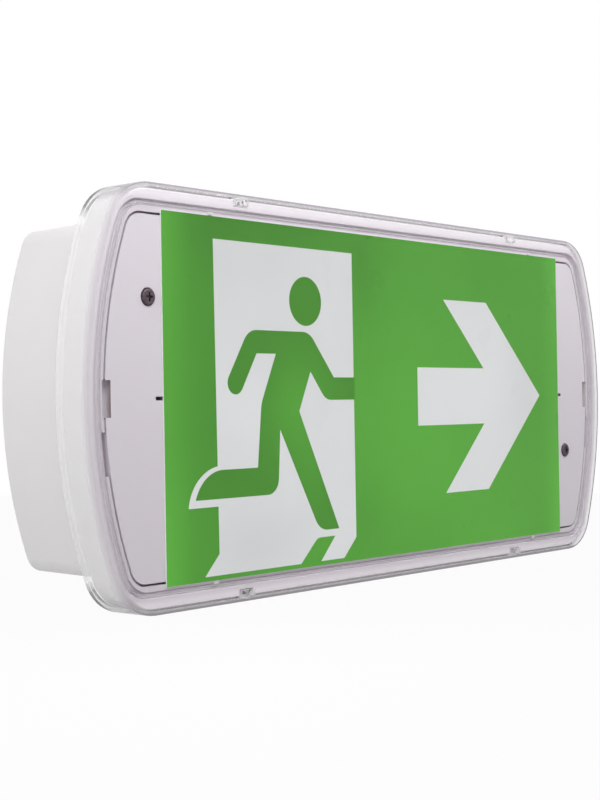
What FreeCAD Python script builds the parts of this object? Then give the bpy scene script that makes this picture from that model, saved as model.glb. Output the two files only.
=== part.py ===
"""Surface-mounted emergency exit light with a 300 x 150 mm legend, as a parametric document.

Frame: the light hangs on a wall whose face is the plane y = 0.  +X runs along the light, +Z is up
and the light stands out from the wall along -Y.  The origin is the middle of the wall face.
Most sketches lie parallel to the wall, so a feature's place is its height above the wall, which
is measured along -Y.  All sizes are in millimetres.
"""
import FreeCAD, Part
import Sketcher
import math
import os

SIZES = {
    # clear cover: a shallow tray with bowed ends, seen from the front
    "cover_half_length": 190.0,
    "cover_half_height": 85.2,
    "cover_end_radius": 200.0,
    "cover_corner_radius": 21.0,
    "cover_wall": 1.8,
    "cover_front": 2.2,
    "cover_edge_radius": 3.0,
    "cover_headroom": 1.3,
    "skirt_drop": 18.0,
    # rim of the housing, from the skirt of the cover inwards: narrow at the ends, wide at the sides
    "skirt_gap": 0.5,
    "rim_width_end": 1.4,
    "rim_width_side": 4.6,
    "rim_edge_radius": 0.5,
    "rim_wall": 2.0,
    "rim_drop": 16.0,
    "groove_width_end": 3.7,
    "groove_width_side": 2.4,
    "groove_depth": 5.0,
    "groove_corner_radius": 13.7,
    "ledge_width_end": 1.3,
    "ledge_width_side": 2.3,
    "flange": 2.4,
    "rib_thickness": 1.6,
    "rib_pitch": 40.0,
    # gasket and the rib of the cover that presses on it
    "gasket_height": 4.0,
    "gasket_side_gap": 0.1,
    "seal_rib_width": 1.2,
    "seal_rib_inset": 0.6,
    # tub of the housing
    "housing_depth": 65.0,
    "overhang_end": 9.0,
    "overhang_side": 13.2,
    "tub_corner_radius": 9.5,
    "tub_draft": 1.0,
    "tub_wall": 2.5,
    "tub_back": 2.5,
    "tub_edge_radius": 2.5,
    # snap tongues of the cover
    "tongue_x": 103.5,
    "tongue_half_width": 6.5,
    "tongue_slit": 1.0,
    "tongue_slit_top": 2.0,
    "catch_width": 8.0,
    "catch_depth": 2.9,
    "catch_drop": 14.0,
    "catch_clearance": 0.5,
    # gear tray
    "tray_gap": 1.0,
    "tray_plate": 2.0,
    "tray_edge_wall": 2.0,
    "end_slot_half_height": 7.2,
    "end_slot_depth": 2.9,
    "end_slot_sink": 3.2,
    "end_slot_wall": 1.6,
    "ledge_slot_depth": 0.6,
    "strap_gap_height": 17.0,
    "strap_gap_fall": 21.2,
    "strap_gap_bow": 3.0,
    "light_box_depth": 22.0,
    "light_box_wall": 2.0,
    "light_box_draft": 4.0,
    "light_box_side_gap": 3.5,
    "light_box_end_margin": 7.0,
    "wire_slot_length": 14.0,
    "wire_slot_width": 5.0,
    # legend panel
    "legend_thickness": 0.5,
    "legend_overlap": 2.4,
    "legend_end_margin": 30.3,
    "peg_length": 2.5,
    "peg_width": 1.0,
    "peg_depth": 1.5,
    "peg_inset": 0.5,
    "peg_clearance": 0.25,
    "peg_slit_reach": 3.8,
    "nib_x": 121.8,
    "nib_width": 2.2,
    "nib_depth": 1.1,
    "nib_height": 1.0,
    "nib_clearance": 0.15,
    # screws that hold the tray
    "tray_screw_margin": 7.2,
    "left_screw_rise": 40.0,
    "right_screw_fall": 30.5,
    "tray_screw_head": 7.2,
    "tray_screw_head_height": 1.8,
    "tray_screw_head_radius": 1.1,
    "cross_span": 3.6,
    "cross_width": 0.9,
    "cross_depth": 1.1,
    "tray_screw_shank": 4.0,
    "tray_screw_length": 16.0,
    "screw_clearance": 0.2,
    "screw_sink": 0.8,
    "boss_wall": 2.5,
    # wall fixings and cable entry
    "fixing_x": 120.0,
    "fixing_z": 42.0,
    "fixing_hole": 5.0,
    "fixing_boss": 13.0,
    "fixing_boss_height": 2.0,
    "entry_to_terminal": 38.0,
    "entry_hole": 20.0,
    "entry_collar_wall": 2.0,
    "entry_collar_height": 4.0,
    "knockout_groove": 0.8,
    "knockout_web": 0.8,
    "grommet_flange": 2.0,
    "grommet_flange_lip": 2.0,
    "grommet_wall": 2.0,
    "grommet_membrane": 1.0,
    "grommet_hole": 7.0,
    "grommet_gap": 0.1,
    # light source
    "led_board_end_margin": 12.4,
    "led_board_width": 16.0,
    "led_board_thickness": 1.6,
    "led_board_side_margin": 7.0,
    "led_length": 5.0,
    "led_width": 4.0,
    "led_height": 1.4,
    "led_end_inset": 14.0,
    "led_screw_inset": 30.0,
    # small screws
    "small_screw_shank": 3.0,
    "small_screw_head": 5.4,
    "small_screw_head_height": 1.6,
    "small_screw_slot": 0.8,
    "small_screw_slot_depth": 0.7,
    # driver board and its components
    "driver_length": 120.0,
    "driver_width": 50.0,
    "driver_thickness": 1.6,
    "driver_to_led_board": 13.0,
    "driver_post": 6.5,
    "driver_post_height": 6.0,
    "driver_hole_inset": 5.0,
    "driver_screw_length": 6.0,
    "transformer_length": 22.0,
    "transformer_width": 20.0,
    "transformer_height": 15.0,
    "transformer_x": -14.0,
    "core_width": 6.0,
    "core_lip": 2.0,
    "choke_diameter": 12.0,
    "choke_height": 11.0,
    "choke_waist": 9.6,
    "choke_flange": 1.8,
    "choke_inset": 20.0,
    "capacitor_diameter": 10.0,
    "capacitor_height": 16.0,
    "capacitor_pitch": 13.0,
    "capacitor_x": 14.0,
    "socket_length": 12.0,
    "socket_width": 8.0,
    "socket_height": 9.0,
    "socket_wall": 1.0,
    "socket_pitch": 15.0,
    "socket_inset": 12.0,
    # battery and its clips
    "cell_diameter": 23.0,
    "cell_length": 43.0,
    "cell_neck": 1.0,
    "cell_neck_depth": 0.5,
    "battery_to_led_board": 16.0,
    "battery_drop": 4.7,
    "clip_x": 44.0,
    "clip_width": 12.0,
    "clip_wall": 1.6,
    "clip_gap": 0.2,
    "clip_mouth": 18.0,
    "clip_base_width": 16.0,
    "clip_screw_bite": 3.6,
    # mains terminal block
    "terminal_inset": 55.0,
    "terminal_pedestal": 3.0,
    "pilot_floor": 0.8,
    "terminal_length": 42.0,
    "terminal_width": 20.0,
    "terminal_height": 16.0,
    "terminal_pitch": 10.0,
    "terminal_hole": 4.0,
    "terminal_hole_depth": 9.0,
    "terminal_wire_hole": 3.4,
    "terminal_wire_height": 5.0,
    "terminal_sink": 2.5,
    "clamp_screw": 3.6,
    "clamp_screw_length": 5.0,
}

WAYS = 4
LEDS = 8
CELLS = 3
RIBS = 7
SOCKETS = 3

# inset of the rim wall from the outline of the cover
RIM_OUTER = "(size.cover_wall + size.skirt_gap)"
RIM_INNER = "(%s + size.rim_wall)" % RIM_OUTER

# half sizes of the outlines inside the rim, of the tray, and of the tub at its mouth
GROOVE_LENGTH = "(size.cover_half_length - %s - size.rim_width_end)" % RIM_OUTER
GROOVE_HEIGHT = "(size.cover_half_height - %s - size.rim_width_side)" % RIM_OUTER
LEDGE_LENGTH = "(%s - size.groove_width_end)" % GROOVE_LENGTH
LEDGE_HEIGHT = "(%s - size.groove_width_side)" % GROOVE_HEIGHT
TRAY_LENGTH = "(%s - size.ledge_width_end - size.tray_gap)" % LEDGE_LENGTH
TRAY_HEIGHT = "(%s - size.ledge_width_side - size.tray_gap)" % LEDGE_HEIGHT
LEDGE_CORNER = "(size.groove_corner_radius - size.groove_width_side)"
TRAY_CORNER = "(%s - size.ledge_width_side - size.tray_gap)" % LEDGE_CORNER
BOW_CENTRE = "(size.cover_end_radius - size.cover_half_length)"
TUB_LENGTH = "(size.cover_half_length - size.overhang_end)"
TUB_HEIGHT = "(size.cover_half_height - size.overhang_side)"
TUB_INNER = "(size.tub_wall + size.tub_draft)"

# heights above the wall
CROWN = "size.housing_depth"
FLANGE_TOP = "(%s - size.groove_depth)" % CROWN
FLANGE_BACK = "(%s - size.flange)" % FLANGE_TOP
RIM_BACK = "(%s - size.rim_drop)" % CROWN
LEDGE_TOP = "(%s - size.legend_thickness)" % CROWN
PLATE_BACK = "(%s - size.tray_plate)" % LEDGE_TOP
COVER_INSIDE = "(%s + size.cover_headroom)" % CROWN
COVER_FACE = "(%s + size.cover_front)" % COVER_INSIDE
SKIRT_BACK = "(%s - size.skirt_drop)" % CROWN
GASKET_TOP = "(%s + size.gasket_height)" % FLANGE_TOP
BOX_FLOOR = "(%s - size.light_box_depth)" % LEDGE_TOP
BOX_BACK = "(%s - size.light_box_wall)" % BOX_FLOOR
SCREW_SEAT = "(%s - size.screw_sink)" % LEDGE_TOP
DRIVER_TOP = "(%s - size.driver_post_height)" % BOX_BACK
DRIVER_FACE = "(%s - size.driver_thickness)" % DRIVER_TOP
ENTRY_COLLAR = "(size.tub_back + size.entry_collar_height)"
PEDESTAL = "(size.tub_back + size.terminal_pedestal)"
TERMINAL_TOP = "(%s + size.terminal_height)" % PEDESTAL
BATTERY_AXIS = "(%s - size.battery_drop - size.cell_diameter / 2)" % BOX_BACK

# legend and light box
LEGEND_LENGTH = "(%s - size.legend_end_margin)" % TRAY_LENGTH
LEGEND_HEIGHT = "(%s + size.legend_overlap)" % TRAY_HEIGHT
TRAY_SCREW_X = "(%s + size.tray_screw_margin)" % LEGEND_LENGTH
BOX_LENGTH = "(%s - size.light_box_end_margin)" % LEGEND_LENGTH
BOX_HEIGHT = "(%s - %s - size.light_box_side_gap - size.light_box_wall)" % (TUB_HEIGHT, TUB_INNER)
BOARD_LENGTH = "(%s - size.light_box_draft - size.led_board_end_margin)" % BOX_LENGTH
BOARD_Z = ("(%s - size.light_box_draft - size.led_board_side_margin - size.led_board_width / 2)"
           % BOX_HEIGHT)

# driver board and battery, each behind its own LED board
DRIVER_Z = "(size.driver_to_led_board - %s)" % BOARD_Z
CHOKE_X = "(size.choke_inset - size.driver_length / 2)"
SOCKET_X = "(size.driver_length / 2 - size.socket_inset)"
BATTERY_Z = "(%s - size.battery_to_led_board)" % BOARD_Z

# terminal block and cable entry
TERMINAL_X = "(%s - size.terminal_inset)" % TUB_LENGTH
ENTRY_X = "(%s - size.entry_to_terminal)" % TERMINAL_X

CHECK_TOLERANCE = 1e-6

doc = FreeCAD.newDocument("exit_light")
size_sheet = doc.addObject("Spreadsheet::Sheet", "size")
for row, (alias, number) in enumerate(SIZES.items(), start=1):
    size_sheet.set("A%d" % row, alias)
    size_sheet.set("B%d" % row, str(number))
    size_sheet.setAlias("B%d" % row, alias)
working_sheet = doc.addObject("Spreadsheet::Sheet", "working")
doc.recompute()


def value(expression):
    """The number that an expression over the sizes has now."""
    working_sheet.set("A1", "=" + str(expression))
    working_sheet.recompute()
    return float(working_sheet.get("A1"))


def bind(thing, name, expression):
    """Ties a property to an expression over the sizes."""
    thing.setExpression(name, str(expression))


# ---------------------------------------------------------------- sketches and their outlines

def new_body(label):
    body = doc.addObject("PartDesign::Body", label)
    body.Label = label
    body.AllowCompound = True
    return body


def new_sketch(body, name, height="0", plane="XZ_Plane"):
    """A sketch parallel to one of the body's own planes, at a height along that plane's normal."""
    sketch = body.newObject("Sketcher::SketchObject", "%s_%s" % (body.Name, name))
    origin_plane = [item for item in body.Origin.OriginFeatures if item.Role == plane][0]
    sketch.AttachmentSupport = [(origin_plane, "")]
    sketch.MapMode = "FlatFace"
    bind(sketch, "AttachmentOffset.Base.z", height)
    return sketch


def datum(sketch, kind, *arguments):
    """Adds a dimension whose last argument is an expression, and ties it to that expression."""
    *references, expression = arguments
    index = sketch.addConstraint(Sketcher.Constraint(kind, *references, value(expression)))
    bind(sketch, "Constraints[%d]" % index, expression)


def place_point(sketch, geometry, point, x, z):
    datum(sketch, "DistanceX", -1, 1, geometry, point, x)
    datum(sketch, "DistanceY", -1, 1, geometry, point, z)


def circle(sketch, x, z, diameter):
    centre = FreeCAD.Vector(value(x), value(z), 0)
    shape = Part.Circle(centre, FreeCAD.Vector(0, 0, 1), value(diameter) / 2)
    index = sketch.addGeometry(shape, False)
    datum(sketch, "Diameter", index, diameter)
    place_point(sketch, index, 3, x, z)


def rectangle(sketch, x, z, width, height):
    """A rectangle with its centre at (x, z)."""
    middle = FreeCAD.Vector(value(x), value(z), 0)
    half_x = FreeCAD.Vector(value(width) / 2, 0, 0)
    half_z = FreeCAD.Vector(0, value(height) / 2, 0)
    corners = [middle - half_x - half_z, middle + half_x - half_z,
               middle + half_x + half_z, middle - half_x + half_z]
    first = sketch.addGeometry(Part.LineSegment(corners[0], corners[1]), False)
    for start in (1, 2, 3):
        sketch.addGeometry(Part.LineSegment(corners[start], corners[(start + 1) % 4]), False)
    centre = sketch.addGeometry(Part.Point(middle), True)
    for side in range(4):
        following = first + (side + 1) % 4
        sketch.addConstraint(Sketcher.Constraint("Coincident", first + side, 2, following, 1))
        direction = "Horizontal" if side % 2 == 0 else "Vertical"
        sketch.addConstraint(Sketcher.Constraint(direction, first + side))
    sketch.addConstraint(Sketcher.Constraint("Symmetric", first, 1, first + 1, 2, centre, 1))
    datum(sketch, "DistanceX", first, 1, first, 2, width)
    datum(sketch, "DistanceY", first + 1, 1, first + 1, 2, height)
    place_point(sketch, centre, 1, x, z)


def bowed_outline(sketch, half_length, half_height, end_radius, corner_radius):
    """Straight top and bottom, long arcs at both ends, and a round corner between each two."""
    length, height = value(half_length), value(half_height)
    end, corner = value(end_radius), value(corner_radius)
    end_x = length - end
    corner_z = height - corner
    corner_x = end_x + math.sqrt((end - corner) ** 2 - corner_z ** 2)
    tilt = math.atan2(corner_z, corner_x - end_x)
    right_angle, half_turn = math.pi / 2, math.pi
    upward = FreeCAD.Vector(0, 0, 1)

    def arc(x, z, radius, start, stop):
        ring = Part.Circle(FreeCAD.Vector(x, z, 0), upward, radius)
        return Part.ArcOfCircle(ring, start, stop)

    def line(x_start, x_stop, z):
        return Part.LineSegment(FreeCAD.Vector(x_start, z, 0), FreeCAD.Vector(x_stop, z, 0))

    pieces = [
        arc(end_x, 0, end, -tilt, tilt),
        arc(corner_x, corner_z, corner, tilt, right_angle),
        line(corner_x, -corner_x, height),
        arc(-corner_x, corner_z, corner, right_angle, half_turn - tilt),
        arc(-end_x, 0, end, half_turn - tilt, half_turn + tilt),
        arc(-corner_x, -corner_z, corner, half_turn + tilt, 3 * right_angle),
        line(-corner_x, corner_x, -height),
        arc(corner_x, -corner_z, corner, 3 * right_angle, 2 * half_turn - tilt),
    ]
    first = len(sketch.Geometry)
    for piece in pieces:
        sketch.addGeometry(piece, False)
    right, corner_arc, top, left, bottom = first, first + 1, first + 2, first + 4, first + 6
    for step in range(len(pieces)):
        following = first + (step + 1) % len(pieces)
        sketch.addConstraint(Sketcher.Constraint("Tangent", first + step, 2, following, 1))
    sketch.addConstraint(Sketcher.Constraint("PointOnObject", right, 3, -1))
    sketch.addConstraint(Sketcher.Constraint("Symmetric", right, 3, left, 3, -2))
    sketch.addConstraint(Sketcher.Constraint("Horizontal", top))
    sketch.addConstraint(Sketcher.Constraint("Horizontal", bottom))
    sketch.addConstraint(Sketcher.Constraint("Equal", right, left))
    for other in (3, 5, 7):
        sketch.addConstraint(Sketcher.Constraint("Equal", corner_arc, first + other))
    datum(sketch, "Radius", right, end_radius)
    datum(sketch, "Radius", corner_arc, corner_radius)
    datum(sketch, "DistanceX", -1, 1, right, 3, "%s - %s" % (half_length, end_radius))
    datum(sketch, "DistanceY", -1, 1, top, 1, half_height)
    datum(sketch, "DistanceY", bottom, 1, -1, 1, half_height)


def cover_outline(sketch, inset="0"):
    """The outline of the cover, moved inwards by the inset."""
    names = ("cover_half_length", "cover_half_height", "cover_end_radius", "cover_corner_radius")
    bowed_outline(sketch, *["(size.%s - %s)" % (name, inset) for name in names])


def inner_outline(sketch, half_length, half_height, corner_radius, inset):
    """An outline inside the cover's: its end arcs have the same centre as the cover's."""
    bowed_outline(sketch, "(%s - %s)" % (half_length, inset), "(%s - %s)" % (half_height, inset),
                  "(%s + %s - %s)" % (BOW_CENTRE, half_length, inset),
                  "(%s - %s)" % (corner_radius, inset))


def groove_outline(sketch, inset="0"):
    """The outer edge of the gasket groove, moved inwards by the inset."""
    inner_outline(sketch, GROOVE_LENGTH, GROOVE_HEIGHT, "size.groove_corner_radius", inset)


def ledge_outline(sketch, inset="0"):
    """The inner edge of the gasket groove, moved inwards by the inset."""
    inner_outline(sketch, LEDGE_LENGTH, LEDGE_HEIGHT, LEDGE_CORNER, inset)


def tray_outline(sketch, inset="0"):
    inner_outline(sketch, TRAY_LENGTH, TRAY_HEIGHT, TRAY_CORNER, inset)


def tub_outline(sketch, inset="0"):
    inner_outline(sketch, TUB_LENGTH, TUB_HEIGHT, "size.tub_corner_radius", inset)


# ---------------------------------------------------------------- features

def volume_of(body):
    return body.Shape.Volume if body.Shape and not body.Shape.isNull() else 0.0


def finish_feature(body, feature, grows):
    """Recomputes, and stops where the feature added or removed nothing."""
    before = volume_of(body)
    doc.recompute()
    body.Tip = feature
    doc.recompute()
    change = volume_of(body) - before
    if (change if grows else -change) < CHECK_TOLERANCE:
        raise RuntimeError("%s changed the volume by %.4f" % (feature.Label, change))
    return feature


def pad(body, sketch, length):
    """Adds material from the sketch away from the wall."""
    feature = body.newObject("PartDesign::Pad", sketch.Name + "_pad")
    feature.Profile = sketch
    bind(feature, "Length", length)
    return finish_feature(body, feature, True)


def pocket(body, sketch, length):
    """Removes material from the sketch towards the wall."""
    feature = body.newObject("PartDesign::Pocket", sketch.Name + "_pocket")
    feature.Profile = sketch
    bind(feature, "Length", length)
    return finish_feature(body, feature, False)


def loft(body, kind, first, second):
    """Joins two sketches, as PartDesign::AdditiveLoft or PartDesign::SubtractiveLoft."""
    feature = body.newObject("PartDesign::" + kind, first.Name + "_loft")
    feature.Profile = first
    feature.Sections = [second]
    feature.Ruled = True
    return finish_feature(body, feature, kind == "AdditiveLoft")


def round_edges(body, radius, chosen):
    """Rounds the edges of the body that the test named chosen picks."""
    base = body.Tip
    names = ["Edge%d" % number for number, edge in enumerate(base.Shape.Edges, start=1)
             if chosen(edge)]
    feature = body.newObject("PartDesign::Fillet", "%s_fillet" % base.Name)
    feature.Base = (base, names)
    bind(feature, "Radius", radius)
    feature.Radius = value(radius)
    body.Tip = feature
    doc.recompute()
    return feature


def lies_at(edge, height):
    """Whether an edge lies wholly at a height above the wall."""
    box = edge.BoundBox
    level = -height
    return abs(box.YMin - level) < 1e-4 and abs(box.YMax - level) < 1e-4


def along_wall_normal(thing, x, z, height):
    """Stands a primitive on a height above the wall with its own z axis away from the wall."""
    thing.Placement = FreeCAD.Placement(FreeCAD.Vector(), FreeCAD.Rotation(FreeCAD.Vector(1, 0, 0), 90))
    bind(thing, "Placement.Base.x", x)
    bind(thing, "Placement.Base.y", "-(%s)" % height)
    bind(thing, "Placement.Base.z", z)


def cylinder(name, x, z, height, diameter, length):
    thing = doc.addObject("Part::Cylinder", name)
    bind(thing, "Radius", "(%s) / 2" % diameter)
    bind(thing, "Height", length)
    along_wall_normal(thing, x, z, height)
    return thing


def fuse(name, things):
    joined = doc.addObject("Part::MultiFuse", name)
    joined.Label = name
    joined.Shapes = things
    return joined


def screw_group(label, places, seat, shank_length, towards_wall=True):
    """Small slotted screws with their heads on one seat; the shanks point at the wall or away."""
    screws = []
    for number, (x, z) in enumerate(places, start=1):
        name = "%s_%d" % (label, number)
        head_base = seat if towards_wall else "(%s - size.small_screw_head_height)" % seat
        head = cylinder(name + "_head", x, z, head_base, "size.small_screw_head",
                        "size.small_screw_head_height")
        shank_base = "(%s - %s)" % (seat, shank_length) if towards_wall else seat
        shank = cylinder(name + "_shank", x, z, shank_base, "size.small_screw_shank", shank_length)
        slot = doc.addObject("Part::Box", name + "_slot")
        bind(slot, "Length", "size.small_screw_head")
        bind(slot, "Width", "size.small_screw_slot")
        bind(slot, "Height", "size.small_screw_slot_depth")
        if towards_wall:
            slot_base = "(%s + size.small_screw_head_height - size.small_screw_slot_depth)" % seat
        else:
            slot_base = head_base
        along_wall_normal(slot, "%s - size.small_screw_head / 2" % x,
                          "%s - size.small_screw_slot / 2" % z, slot_base)
        blank = fuse(name + "_blank", [head, shank])
        screw = doc.addObject("Part::Cut", name)
        screw.Base = blank
        screw.Tool = slot
        screws.append(screw)
    group = doc.addObject("Part::Compound", label)
    group.Label = label
    group.Links = screws
    return group


# ---------------------------------------------------------------- the pieces

SIGNS = ((-1, -1), (1, -1), (1, 1), (-1, 1))
TRAY_SCREWS = (("left", "-%s" % TRAY_SCREW_X, "size.left_screw_rise"),
               ("right", TRAY_SCREW_X, "-size.right_screw_fall"))
LED_ROWS = (("upper", BOARD_Z), ("lower", "-%s" % BOARD_Z))
LED_SCREW_X = "(%s - size.led_screw_inset)" % BOARD_LENGTH
LED_SCREW_PLACES = ["-%s" % LED_SCREW_X, "0", LED_SCREW_X]
FIXINGS = [("%d * size.fixing_x" % i, "%d * size.fixing_z" % k) for i, k in SIGNS]
DRIVER_HOLES = [("%d * (size.driver_length / 2 - size.driver_hole_inset)" % i,
                 "%s + %d * (size.driver_width / 2 - size.driver_hole_inset)" % (DRIVER_Z, k))
                for i, k in SIGNS]
CLIPS = (("left", "-size.clip_x"), ("right", "size.clip_x"))
TERMINAL_FIXINGS = [(TERMINAL_X, "%d * size.terminal_pitch" % k) for k in (-1, 1)]
SMALL_HOLE = "(size.small_screw_shank + size.screw_clearance)"


def make_housing():
    """White tub moulding with the rim that carries the gasket, the tray and the cover."""
    body = new_body("back_housing")

    # tub, a little narrower at the wall, with its back edge rounded
    back = new_sketch(body, "tub_back")
    tub_outline(back, "size.tub_draft")
    mouth = new_sketch(body, "tub_mouth", FLANGE_BACK)
    tub_outline(mouth)
    loft(body, "AdditiveLoft", back, mouth)
    round_edges(body, "size.tub_edge_radius", lambda edge: lies_at(edge, 0))

    # flange with the rim wall hanging from it and standing up to the crown
    flange = new_sketch(body, "flange", FLANGE_BACK)
    cover_outline(flange, RIM_OUTER)
    pad(body, flange, "size.flange")
    rim_wall = new_sketch(body, "rim_wall", RIM_BACK)
    cover_outline(rim_wall, RIM_OUTER)
    cover_outline(rim_wall, RIM_INNER)
    pad(body, rim_wall, "%s - %s" % (FLANGE_BACK, RIM_BACK))
    rim = new_sketch(body, "rim", FLANGE_TOP)
    cover_outline(rim, RIM_OUTER)
    groove_outline(rim)
    pad(body, rim, "size.groove_depth")
    crown = value(CROWN)
    round_edges(body, "size.rim_edge_radius", lambda edge: lies_at(edge, crown))

    # ledge between the gasket groove and the tray
    ledge = new_sketch(body, "ledge", FLANGE_TOP)
    ledge_outline(ledge)
    tray_outline(ledge, "-size.tray_gap")
    pad(body, ledge, "%s - %s" % (LEDGE_TOP, FLANGE_TOP))

    # inside of the tub
    inner_back = new_sketch(body, "inner_back", "size.tub_back")
    tub_outline(inner_back, TUB_INNER)
    inner_mouth = new_sketch(body, "inner_mouth", FLANGE_TOP)
    tub_outline(inner_mouth, "size.tub_wall")
    loft(body, "SubtractiveLoft", inner_back, inner_mouth)

    # gaps of the ledge: a finger slot in the middle of each end and a strap gap below it
    gaps = new_sketch(body, "ledge_gaps", LEDGE_TOP)
    slot_width = "(size.tray_gap + size.ledge_slot_depth)"
    strap_outer = "(%s + size.groove_width_end / 2)" % LEDGE_LENGTH
    strap_inner = "(%s - size.strap_gap_bow)" % TRAY_LENGTH
    for side in (-1, 1):
        rectangle(gaps, "%d * (%s + %s / 2)" % (side, TRAY_LENGTH, slot_width), "0",
                  slot_width, "2 * size.end_slot_half_height")
        rectangle(gaps, "%d * (%s + %s) / 2" % (side, strap_inner, strap_outer),
                  "-size.strap_gap_fall", "%s - %s" % (strap_outer, strap_inner),
                  "size.strap_gap_height")
    pocket(body, gaps, "%s - %s" % (LEDGE_TOP, FLANGE_TOP))

    # nibs that locate the edges of the legend
    nibs = new_sketch(body, "nibs", LEDGE_TOP)
    nib_z = "(%s + size.nib_clearance + size.nib_depth / 2)" % LEGEND_HEIGHT
    for x_sign, z_sign in SIGNS:
        rectangle(nibs, "%d * size.nib_x" % x_sign, "%d * %s" % (z_sign, nib_z),
                  "size.nib_width", "size.nib_depth")
    pad(body, nibs, "size.nib_height")

    # notches of the rim wall that the tongues of the cover drop into
    notches = new_sketch(body, "catch_notches", CROWN)
    notch_top = "(size.cover_half_height - %s + size.skirt_gap)" % RIM_OUTER
    notch_bottom = ("(size.cover_half_height - size.cover_wall - size.catch_depth"
                    " - size.catch_clearance)")
    for x_sign, z_sign in SIGNS:
        rectangle(notches, "%d * size.tongue_x" % x_sign,
                  "%d * (%s + %s) / 2" % (z_sign, notch_top, notch_bottom),
                  "size.catch_width + 2 * size.catch_clearance",
                  "%s - %s" % (notch_top, notch_bottom))
    pocket(body, notches, "size.catch_drop + size.catch_clearance")

    # stiffening ribs behind the flange, between the tub and the rim wall
    ribs = new_sketch(body, "flange_ribs", RIM_BACK)
    rib_top = "(size.cover_half_height - %s + size.rim_wall / 2)" % RIM_INNER
    rib_bottom = "(%s - size.tub_wall / 2)" % TUB_HEIGHT
    for z_sign in (-1, 1):
        for number in range(RIBS):
            rectangle(ribs, "%d * size.rib_pitch" % (number - RIBS // 2),
                      "%d * (%s + %s) / 2" % (z_sign, rib_top, rib_bottom),
                      "size.rib_thickness", "%s - %s" % (rib_top, rib_bottom))
    pad(body, ribs, "%s - %s" % (FLANGE_BACK, RIM_BACK))

    # posts for the tray screws
    posts = new_sketch(body, "posts", "size.tub_back")
    holes = new_sketch(body, "post_holes", PLATE_BACK)
    for _, x, z in TRAY_SCREWS:
        circle(posts, x, z, "size.tray_screw_shank + 2 * size.boss_wall")
        circle(holes, x, z, "size.tray_screw_shank + size.screw_clearance")
    pad(body, posts, "%s - size.tub_back" % PLATE_BACK)
    pocket(body, holes, "size.tray_screw_length")

    # bosses round the four wall fixings, the collar of the cable entry, the terminal pedestal
    bosses = new_sketch(body, "fixing_bosses", "size.tub_back")
    fixings = new_sketch(body, "fixing_holes", "size.tub_back + size.fixing_boss_height")
    for x, z in FIXINGS:
        circle(bosses, x, z, "size.fixing_boss")
        circle(fixings, x, z, "size.fixing_hole")
    pad(body, bosses, "size.fixing_boss_height")
    pocket(body, fixings, "size.tub_back + size.fixing_boss_height")
    collar = new_sketch(body, "entry_collar", "size.tub_back")
    circle(collar, ENTRY_X, "0", "size.entry_hole + 2 * size.entry_collar_wall")
    pad(body, collar, "size.entry_collar_height")
    entry = new_sketch(body, "entry_hole", ENTRY_COLLAR)
    circle(entry, ENTRY_X, "0", "size.entry_hole")
    pocket(body, entry, ENTRY_COLLAR)
    knockout = new_sketch(body, "knockout", "size.tub_back")
    circle(knockout, "-%s" % ENTRY_X, "0", "size.entry_hole + 2 * size.knockout_groove")
    circle(knockout, "-%s" % ENTRY_X, "0", "size.entry_hole")
    pocket(body, knockout, "size.tub_back - size.knockout_web")
    pedestal = new_sketch(body, "pedestal", "size.tub_back")
    rectangle(pedestal, TERMINAL_X, "0", "size.terminal_width", "size.terminal_length")
    pad(body, pedestal, "size.terminal_pedestal")
    pilot = new_sketch(body, "pilot_holes", PEDESTAL)
    for x, z in TERMINAL_FIXINGS:
        circle(pilot, x, z, SMALL_HOLE)
    pocket(body, pilot, "%s - size.pilot_floor" % PEDESTAL)
    return body


def make_gasket():
    """Foam gasket that lies in the groove of the rim."""
    body = new_body("cover_gasket")
    ring = new_sketch(body, "ring", FLANGE_TOP)
    groove_outline(ring, "size.gasket_side_gap")
    ledge_outline(ring, "-size.gasket_side_gap")
    pad(body, ring, "size.gasket_height")
    return body


def make_cover():
    """Clear cover: front, skirt, sealing rib and four snap tongues in one moulding."""
    body = new_body("clear_cover")
    block = new_sketch(body, "block", SKIRT_BACK)
    cover_outline(block)
    pad(body, block, "%s - %s" % (COVER_FACE, SKIRT_BACK))
    face = value(COVER_FACE)
    round_edges(body, "size.cover_edge_radius", lambda edge: lies_at(edge, face))
    inside = new_sketch(body, "inside", COVER_INSIDE)
    cover_outline(inside, "size.cover_wall")
    pocket(body, inside, "%s - %s" % (COVER_INSIDE, SKIRT_BACK))
    rib = new_sketch(body, "seal_rib", GASKET_TOP)
    groove_outline(rib, "size.seal_rib_inset")
    groove_outline(rib, "(size.seal_rib_inset + size.seal_rib_width)")
    pad(body, rib, "%s - %s" % (COVER_INSIDE, GASKET_TOP))

    # each tongue is cut free by a slit on both sides and has a catch on its inner face
    slit_top = "(%s - size.tongue_slit_top)" % CROWN
    slits = new_sketch(body, "tongue_slits", slit_top)
    catches = new_sketch(body, "catches", "%s - size.catch_drop" % CROWN)
    catch_root = "(size.cover_half_height - size.cover_wall / 2)"
    catch_tip = "(size.cover_half_height - size.cover_wall - size.catch_depth)"
    for x_sign, z_sign in SIGNS:
        for side in (-1, 1):
            rectangle(slits, "%d * size.tongue_x + %d * size.tongue_half_width" % (x_sign, side),
                      "%d * %s" % (z_sign, catch_root), "size.tongue_slit", "2 * size.cover_wall")
        rectangle(catches, "%d * size.tongue_x" % x_sign,
                  "%d * (%s + %s) / 2" % (z_sign, catch_root, catch_tip),
                  "size.catch_width", "%s - %s" % (catch_root, catch_tip))
    pocket(body, slits, "%s - %s" % (slit_top, SKIRT_BACK))
    pad(body, catches, "size.cover_headroom + size.catch_drop")
    return body


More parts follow.
